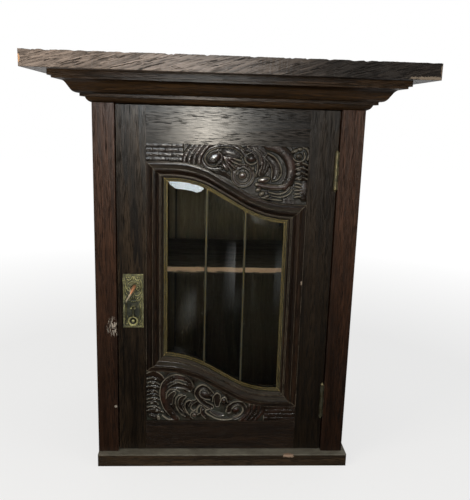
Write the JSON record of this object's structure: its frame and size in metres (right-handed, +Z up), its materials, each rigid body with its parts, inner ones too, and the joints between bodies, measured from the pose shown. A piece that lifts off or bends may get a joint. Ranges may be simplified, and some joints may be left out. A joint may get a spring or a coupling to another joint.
{
  "type": "hanging wall cupboard",
  "caption": "Small wall cupboard with a heavy moulded cornice and one hinged door: serpentine bevelled glazing in cames between carved fields, lock with key, drop handle.",
  "frame": {"origin": "middle of the whole cupboard's footprint, on the underside of the bottom board", "axes": "+X to the viewer's right, +Y from the door towards the wall, +Z up"},
  "size_m": [0.543, 0.3384, 0.6223],
  "materials": {
    "oak_dark": "dark stained oak, worn satin wax",
    "oak_red": "dark reddish stained oak, waxed",
    "oak_cornice": "near-black stained oak, satin",
    "oak_weathered": "faded dusty stained oak",
    "oak_side": "dark stained oak",
    "oak_raw": "bare aged wood",
    "oak_back": "dark stained boards, matt",
    "oak_carved": "dark stained oak with dusty carving",
    "oak_moulding": "dark stained oak, waxed",
    "glass": "clear bevelled",
    "came_brass": "dull aged",
    "plate_brass": "aged, olive brown",
    "hinge_brass": "dull",
    "screw_steel": "dull",
    "nail_iron": "rusted black",
    "lock_iron": "dark aged iron",
    "key_steel": "worn, coppery"
  },
  "bodies": {
    "case": {"bottom_board": "oak_weathered", "top_board": "oak_weathered", "cornice_front": "oak_cornice", "cornice_left": "oak_cornice", "cornice_right": "oak_cornice", "frieze_rail": "oak_cornice", "left_post": "oak_red", "right_post": "oak_red", "left_side": "oak_side", "right_side": "oak_side", "back_board_1": "oak_back", "back_board_2": "oak_back", "back_board_3": "oak_back", "back_board_4": "oak_back", "back_board_5": "oak_back", "back_nails": "nail_iron", "hanging_rail": "oak_raw", "shelf": "oak_raw", "shelf_batten_left": "oak_raw", "shelf_batten_right": "oak_raw", "door_stop": "oak_raw", "strike_plate": "lock_iron", "strike_screws": "screw_steel", "hinge_post_leaf_lower": "hinge_brass", "hinge_post_leaf_upper": "hinge_brass", "hinge_pins": "hinge_brass", "hinge_screws_post": "screw_steel"},
    "door": {"lock_stile": "oak_dark", "hinge_stile": "oak_dark", "door_rail_top": "oak_carved", "door_rail_bottom": "oak_carved", "moulding_left": "oak_moulding", "moulding_right": "oak_moulding", "moulding_top": "oak_moulding", "moulding_bottom": "oak_moulding", "came_left": "came_brass", "came_right": "came_brass", "came_top": "came_brass", "came_bottom": "came_brass", "came_bar_1": "came_brass", "came_bar_2": "came_brass", "glass_pane_1": "glass", "glass_pane_2": "glass", "glass_pane_3": "glass", "bead_left": "oak_raw", "bead_right": "oak_raw", "bead_top": "oak_raw", "bead_bottom": "oak_raw", "lock_plate": "plate_brass", "plate_pins": "plate_brass", "handle_ears": "plate_brass", "handle_pin": "plate_brass", "lock_case": "lock_iron", "lock_screws": "screw_steel", "hinge_door_leaf_lower": "hinge_brass", "hinge_door_leaf_upper": "hinge_brass", "hinge_screws_door": "screw_steel"},
    "key": {"key": "key_steel"},
    "lock_bolt": {"lock_bolt": "lock_iron"},
    "drop_handle": {"drop_handle": "plate_brass"}
  },
  "joints": [
    {"name": "door_swing", "type": "hinge", "parent": "case", "child": "door", "pos_m": [0.1577, -0.09055, 0.29], "axis": [0, 0, 1], "range_deg": [0, 170]},
    {"name": "key_turn", "type": "hinge", "parent": "door", "child": "key", "pos_m": [-0.13925, -0.08875, 0.29135], "axis": [0, -1, 0], "range_deg": [0, 180]},
    {"name": "bolt_throw", "type": "slide", "parent": "door", "child": "lock_bolt", "axis": [-1, 0, 0], "range_m": [0, 0.008]},
    {"name": "handle_lift", "type": "hinge", "parent": "door", "child": "drop_handle", "pos_m": [-0.13925, -0.09335, 0.25935], "axis": [-1, 0, 0], "range_deg": [0, 85]}
  ],
  "couplings": [
    {"joint": "bolt_throw", "follows": "key_turn", "m_per_rad": 0.0025465}
  ]
}
